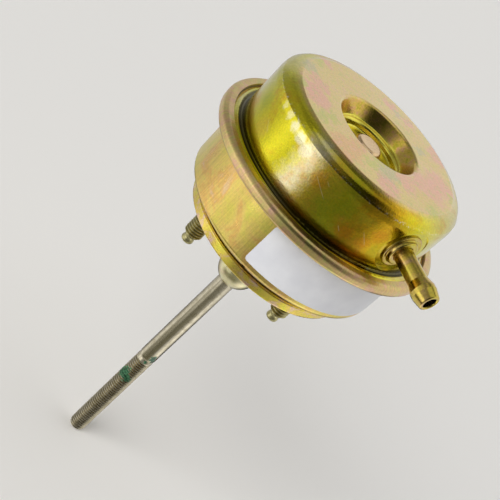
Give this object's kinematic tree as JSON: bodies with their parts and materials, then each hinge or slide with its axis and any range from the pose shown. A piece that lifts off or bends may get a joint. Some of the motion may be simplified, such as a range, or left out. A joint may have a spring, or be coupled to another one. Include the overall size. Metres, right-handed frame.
{
  "type": "turbo wastegate actuator",
  "caption": "Diaphragm actuator in a two-part pressed can: air pressure on the cap's nipple pushes a sprung rod out to open a turbo's wastegate.",
  "frame": {"origin": "centre of the mounting face under the base plate, on the rod's axis", "axes": "+Z along the can's axis towards the cap; the studs and the rod point down; the label and the nipple face -Y and +X"},
  "size_m": [0.0772, 0.075, 0.1491],
  "materials": {
    "plated_cap": "yellow zinc plated, bright, pressed",
    "plated_can": "yellow zinc plated, drawn",
    "plated_nipple": "yellow zinc plated, turned",
    "stud_steel": "plated, rolled thread",
    "rod_steel": "plated, drawn bar with rolled thread",
    "sticker": "blank silver-white film",
    "bronze": "sintered",
    "wiper_rubber": "moulded",
    "diaphragm_rubber": "moulded over fabric",
    "spring_steel": "drawn wire",
    "inner_steel": "pressed"
  },
  "bodies": {
    "canister": {"pressure_cap": "plated_cap", "hose_nipple": "plated_nipple", "nipple_collar": "plated_nipple", "spring_can": "plated_can", "base_plate": "plated_can", "guide_hub": "plated_can", "guide_bush": "bronze", "rod_wiper": "wiper_rubber", "stud_left": "stud_steel", "stud_right": "stud_steel", "spring_seat": "inner_steel", "return_spring": "spring_steel", "diaphragm": "diaphragm_rubber", "label": "sticker"},
    "rod": {"actuator_rod": "rod_steel", "stop_sleeve": "inner_steel", "piston_washer": "inner_steel", "piston_cup": "inner_steel", "diaphragm_retainer": "inner_steel", "stop_bumper": "wiper_rubber"}
  },
  "joints": [
    {"name": "rod_slide", "type": "slide", "parent": "canister", "child": "rod", "axis": [0, 0, -1], "range_m": [0, 0.012], "stiffness_N_per_m": 3500, "springref_m": -0.0125, "deforming": ["return_spring", "diaphragm"]}
  ]
}
